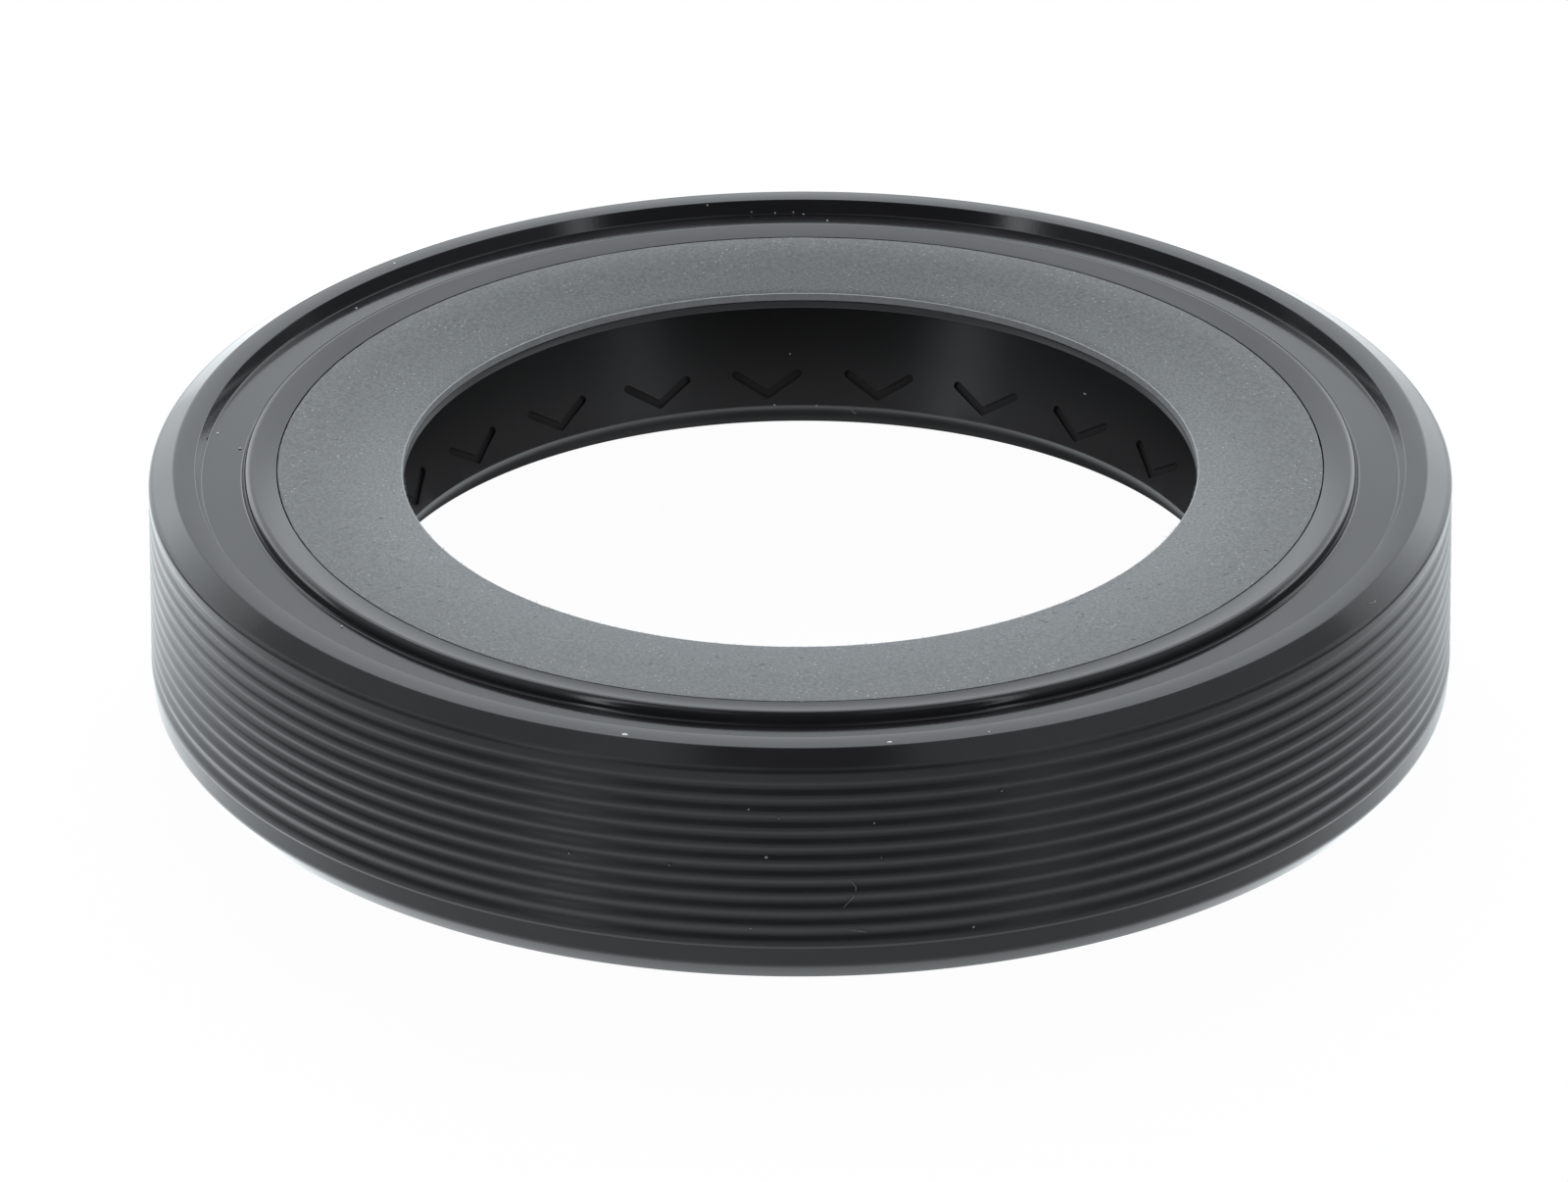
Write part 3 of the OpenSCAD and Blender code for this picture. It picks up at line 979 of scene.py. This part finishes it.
def fibre_paths():
    """Paths of the loose fibres on the fabric and of the fuzz on its cut edge."""
    for i in range(LOOSE_FIBRES):
        r = random.uniform(HOLE_R + LOOSE_FROM_HOLE, FABRIC_R - LOOSE_FROM_EDGE)
        angle = random.uniform(0, 2 * math.pi)
        heading = random.uniform(0, 2 * math.pi)
        bend = random.uniform(*LOOSE_BEND)
        length = random.uniform(*LOOSE_LENGTH)
        point = Vector((r * math.cos(angle), r * math.sin(angle), 0))
        path = []
        for k in range(LOOSE_POINTS):
            point.z = fabric_z(math.hypot(point.x, point.y)) + FIBRE_R * FIBRE_LIFT
            path.append(point.copy())
            ahead = Vector((math.cos(heading), math.sin(heading), 0))
            point = point + ahead * length / (LOOSE_POINTS - 1)
            heading += bend / (LOOSE_POINTS - 1)
        yield path
    for i in range(EDGE_FIBRES):
        angle = 2 * math.pi * (i + random.random()) / EDGE_FIBRES
        outward = Vector((math.cos(angle), math.sin(angle), 0))
        sideways = Vector((-math.sin(angle), math.cos(angle), 0))
        root_z = fabric_z(HOLE_R) - random.uniform(*EDGE_DEPTH)
        point = outward * (HOLE_R + EDGE_ROOT) + Vector((0, 0, root_z))
        step = -outward * random.uniform(*EDGE_INWARD) + sideways * random.uniform(*EDGE_SIDEWAYS)
        lift = random.uniform(*EDGE_LIFT)
        path = []
        for k in range(EDGE_POINTS):
            path.append(point.copy())
            point = point + step + Vector((0, 0, lift))
            point.z = min(point.z, FABRIC_TOP_Z - EDGE_UNDER)
        yield path


def make_fabric(material, cut_edge, thread):
    """The fabric ring, with a rough cut edge at the hole and a few loose fibres."""
    outer_low_z = FABRIC_TOP_Z - FABRIC_T
    outer_r = FABRIC_R - OUTER_EDGE_IN
    cut_r = HOLE_R + CUT_TOP_OUT
    profile = [(HOLE_R, outer_low_z - FABRIC_DISH), (FABRIC_R, outer_low_z),
               (FABRIC_R, FABRIC_TOP_Z - OUTER_EDGE_DROP)]
    for i in range(FABRIC_STEPS):
        r = outer_r + (cut_r + PALE_EDGE_W - outer_r) * i / (FABRIC_STEPS - 1)
        profile.append((r, fabric_z(r)))
    top_z = fabric_z(HOLE_R)
    outer_edge = range(1, 4)
    cut_from = len(profile)
    profile.append((cut_r, fabric_z(cut_r)))
    profile += [(HOLE_R + out, top_z - down) for out, down in CUT_ROUND]

    def rough(r, z, angle, j):
        """The outer edge a little wavy and the cut edge rough; the rest stays."""
        place = Vector((math.cos(angle), math.sin(angle), 0)) * HOLE_R
        if j in outer_edge:
            waves = [noise.noise(place * fineness) for fineness in OUTER_FINENESS]
            return r - OUTER_WAVES * sum(waves), z
        if j < cut_from:
            return r, z
        place = (place + Vector((0, 0, z))) * CUT_FINENESS
        return (r + CUT_ROUGH_OUT * (noise.noise(place) + 1) / 2,
                z - CUT_ROUGH_DOWN * (noise.noise(place * CUT_DOWN_FINER) + 1) / 2)

    ring = turned("fabric_ring", profile, material, around=FABRIC_AROUND, shape=rough)
    ring.data.materials.append(cut_edge)
    for face in ring.data.polygons:
        if math.hypot(face.center.x, face.center.y) < (HOLE_R + PALE_EDGE_W) * MM:
            face.material_index = 1
    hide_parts("dust_lip_fabric")

    vertices, faces = [], []
    for path in fibre_paths():
        add_tube(vertices, faces, path, FIBRE_R, FIBRE_SIDES)
    fibres = mesh_object("fabric_fibres", vertices, faces, thread, ROUND_WIRE)
    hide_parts("dust_lip_fabric")


def make_case(material):
    """The pressed steel case."""
    case = turned("case_ring", softened(case_profile(), CASE_EDGE_R), material)
    even_flats(case)
    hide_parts("steel_case")


WIRE_D = 0.34
# Distance between turns, as a share of the wire's diameter
TURN_PITCH = 1.04
TURN_POINTS = 12
WIRE_SIDES = 6


def coil_middle(turn):
    """The way outwards at a share of the ring's round, and the middle of the coil there."""
    outward = Vector((math.cos(2 * math.pi * turn), math.sin(2 * math.pi * turn), 0))
    return outward, outward * SPRING_RING_R + Vector((0, 0, SPRING_Z))


def make_spring(material):
    """The garter spring's turns of wire, closed into a ring."""
    helix_r = SPRING_COIL_R - WIRE_D / 2
    turns = int(2 * math.pi * SPRING_RING_R / (WIRE_D * TURN_PITCH))
    count = turns * TURN_POINTS
    vertices, faces = [], []

    def place(step):
        outward, middle = coil_middle(step / count)
        round_coil = 2 * math.pi * step / TURN_POINTS
        return middle + (outward * math.cos(round_coil) + UPRIGHT * math.sin(round_coil)) * helix_r

    for i in range(count):
        here = place(i)
        along = (place(i + 1) - place(i - 1)).normalized()
        out = here - coil_middle(i / count)[1]
        out = (out - along * out.dot(along)).normalized()
        across = along.cross(out)
        for k in range(WIRE_SIDES):
            angle = 2 * math.pi * k / WIRE_SIDES
            point = here + (out * math.cos(angle) + across * math.sin(angle)) * WIRE_D / 2
            vertices.append(tuple(point * MM))
    for i in range(count):
        here, beside = i * WIRE_SIDES, (i + 1) % count * WIRE_SIDES
        for k in range(WIRE_SIDES):
            m = (k + 1) % WIRE_SIDES
            faces.append((here + k, here + m, beside + m, beside + k))
    spring = mesh_object("spring_coil", vertices, faces, material, ROUND_WIRE)
    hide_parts("garter_spring")


# Dust on the face and in the hole: radius, azimuth in degrees, depth under the rim, width
# and length
SPECKS = (
    (28.62, -106, 0.06, 0.42, 0.30), (28.62, -82, 0.06, 0.34, 0.24), (28.40, 132, 0.05, 0.18, 0.15),
    (27.62, 94.7, 0.5, 0.10, 0.10), (27.58, 92.4, 0.57, 0.12, 0.12), (27.60, 90.6, 0.55, 0.10, 0.10),
    (27.49, 89.6, 0.6, 0.12, 0.12), (26.77, 87.2, 0.58, 0.12, 0.12), (26.07, -143, 0.55, 0.17, 0.15),
    (27.09, 139.9, 0.6, 0.17, 0.15), (27.25, 171, 0.6, 0.24, 0.12), (25.97, 174.3, 0.55, 0.12, 0.21),
    (20.59, 91.3, 4.54, 0.12, 0.12), (20.68, 49.9, 4.34, 0.24, 0.08), (19.58, 93.5, 6.7, 0.12, 0.12),
    (19.56, 87.7, 6.74, 0.11, 0.11), (27.80, 99, 0.1, 0.12, 0.12), (28.6, -72.8, 0.06, 0.14, 0.12),
)
# Dust on the ribs: azimuth, depth under the rim and size
RIB_SPECKS = (
    (-93.0, 5.03, 0.17), (-75.0, 9.09, 0.15), (-83.7, 3.38, 0.12), (-94.5, 2.63, 0.12),
    (-91.9, 3.04, 0.09), (-105.2, 2.02, 0.12), (-110.4, 5.75, 0.12), (-101.4, 5.70, 0.10),
    (-83.1, 5.13, 0.10), (-94.4, 8.63, 0.14), (-93.0, 9.30, 0.13), (-93.1, 7.66, 0.09),
    (-87.9, 9.30, 0.09), (-74.4, 9.30, 0.10), (-72.5, 2.4, 0.10),
)
# Lint: points along each hair, as radius, azimuth and depth under the rim
LINT = (
    ((19.57, 83.0, 6.81), (19.69, 82.7, 7.08), (19.76, 82.3, 7.20)),
    ((29.97, -85.8, 6.15), (29.97, -85.3, 6.56), (29.97, -85.3, 6.8), (29.97, -85.5, 7.05),
     (29.97, -86.4, 7.6)),
    ((29.97, -85.6, 8.74), (29.97, -84.9, 8.82), (29.97, -84.3, 8.87)),
    ((29.36, -28.7, 0.33), (29.44, -28.3, 0.37), (29.5, -27.8, 0.41), (29.46, -27.4, 0.39)),
    ((27.82, 96.0, 0.2), (27.84, 95.4, 0.1), (27.86, 94.9, 0.06)),
)
LINT_R = 0.014
# Half the thickness of a grain on the face and on the ribs
GRAIN_T = 0.04
RIB_GRAIN_T = 0.045
# How far the middle of a grain lies over the face, and how deep that of one on the ribs
GRAIN_LIFT = 0.01
RIB_GRAIN_IN = 0.05
GRAIN_ROWS = 3
GRAIN_COLUMNS = 7
GRAIN_LUMPS = (0.75, 1.0)


def on_seal(r, azimuth, depth):
    """A point in millimetres from its radius, azimuth and depth under the rim."""
    angle = math.radians(azimuth)
    return Vector((r * math.cos(angle), r * math.sin(angle), HEIGHT - depth))


def add_speck(vertices, faces, middle, across, along, out):
    """A lumpy flattened grain with three half axes."""
    base = len(vertices)
    rows, columns = GRAIN_ROWS, GRAIN_COLUMNS
    for i in range(rows):
        latitude = math.pi * (i + 0.5) / rows
        for k in range(columns):
            longitude = 2 * math.pi * k / columns
            point = (across * math.cos(longitude) + along * math.sin(longitude)) * math.sin(latitude)
            point = (point + out * math.cos(latitude)) * random.uniform(*GRAIN_LUMPS)
            vertices.append(tuple((middle + point) * MM))
    for i in range(rows - 1):
        for k in range(columns):
            m = (k + 1) % columns
            faces.append((base + i * columns + k, base + (i + 1) * columns + k,
                          base + (i + 1) * columns + m, base + i * columns + m))
    faces.append(tuple(base + k for k in range(columns)))
    faces.append(tuple(base + (rows - 1) * columns + k for k in reversed(range(columns))))


def make_dust(material, thread):
    """Specks of dust and bits of lint, where the photograph shows them."""
    vertices, faces = [], []
    for r, azimuth, depth, wide, tall in SPECKS:
        outward = on_seal(1, azimuth, HEIGHT)
        add_speck(vertices, faces, on_seal(r, azimuth, depth - GRAIN_LIFT),
                  UPRIGHT.cross(outward) * wide / 2, outward * tall / 2, UPRIGHT * GRAIN_T)
    mesh_object("dust_specks", vertices, faces, material, ROUND_GRAIN)
    vertices, faces = [], []
    for azimuth, depth, size in RIB_SPECKS:
        outward = on_seal(1, azimuth, HEIGHT)
        add_speck(vertices, faces, on_seal(OUTER_R - RIB_GRAIN_IN, azimuth, depth),
                  UPRIGHT.cross(outward) * size / 2, UPRIGHT * size / 2, outward * RIB_GRAIN_T)
    for points in LINT:
        add_tube(vertices, faces, [on_seal(*point) for point in points], LINT_R)
    mesh_object("dust_lint", vertices, faces, thread, ROUND_GRAIN)


random.seed(3)
bpy.context.scene.view_settings.view_transform = "Standard"
make_camera()
make_world()
make_floor()
make_lamp()
make_body(rubber_material("rubber", FACE_ROUGH, OUTSIDE_ROUGH, FACE_GLOSS),
          rubber_material("rubber_marks", MARK_ROUGH, MARK_ROUGH, MARK_GLOSS))
thread = thread_material("thread", *THREAD_SHADES)
make_fabric(fabric_material(), thread_material("cut_edge", *CUT_EDGE_SHADES), thread)
make_case(steel_material())
make_spring(spring_material())
make_dust(dust_material(), thread)
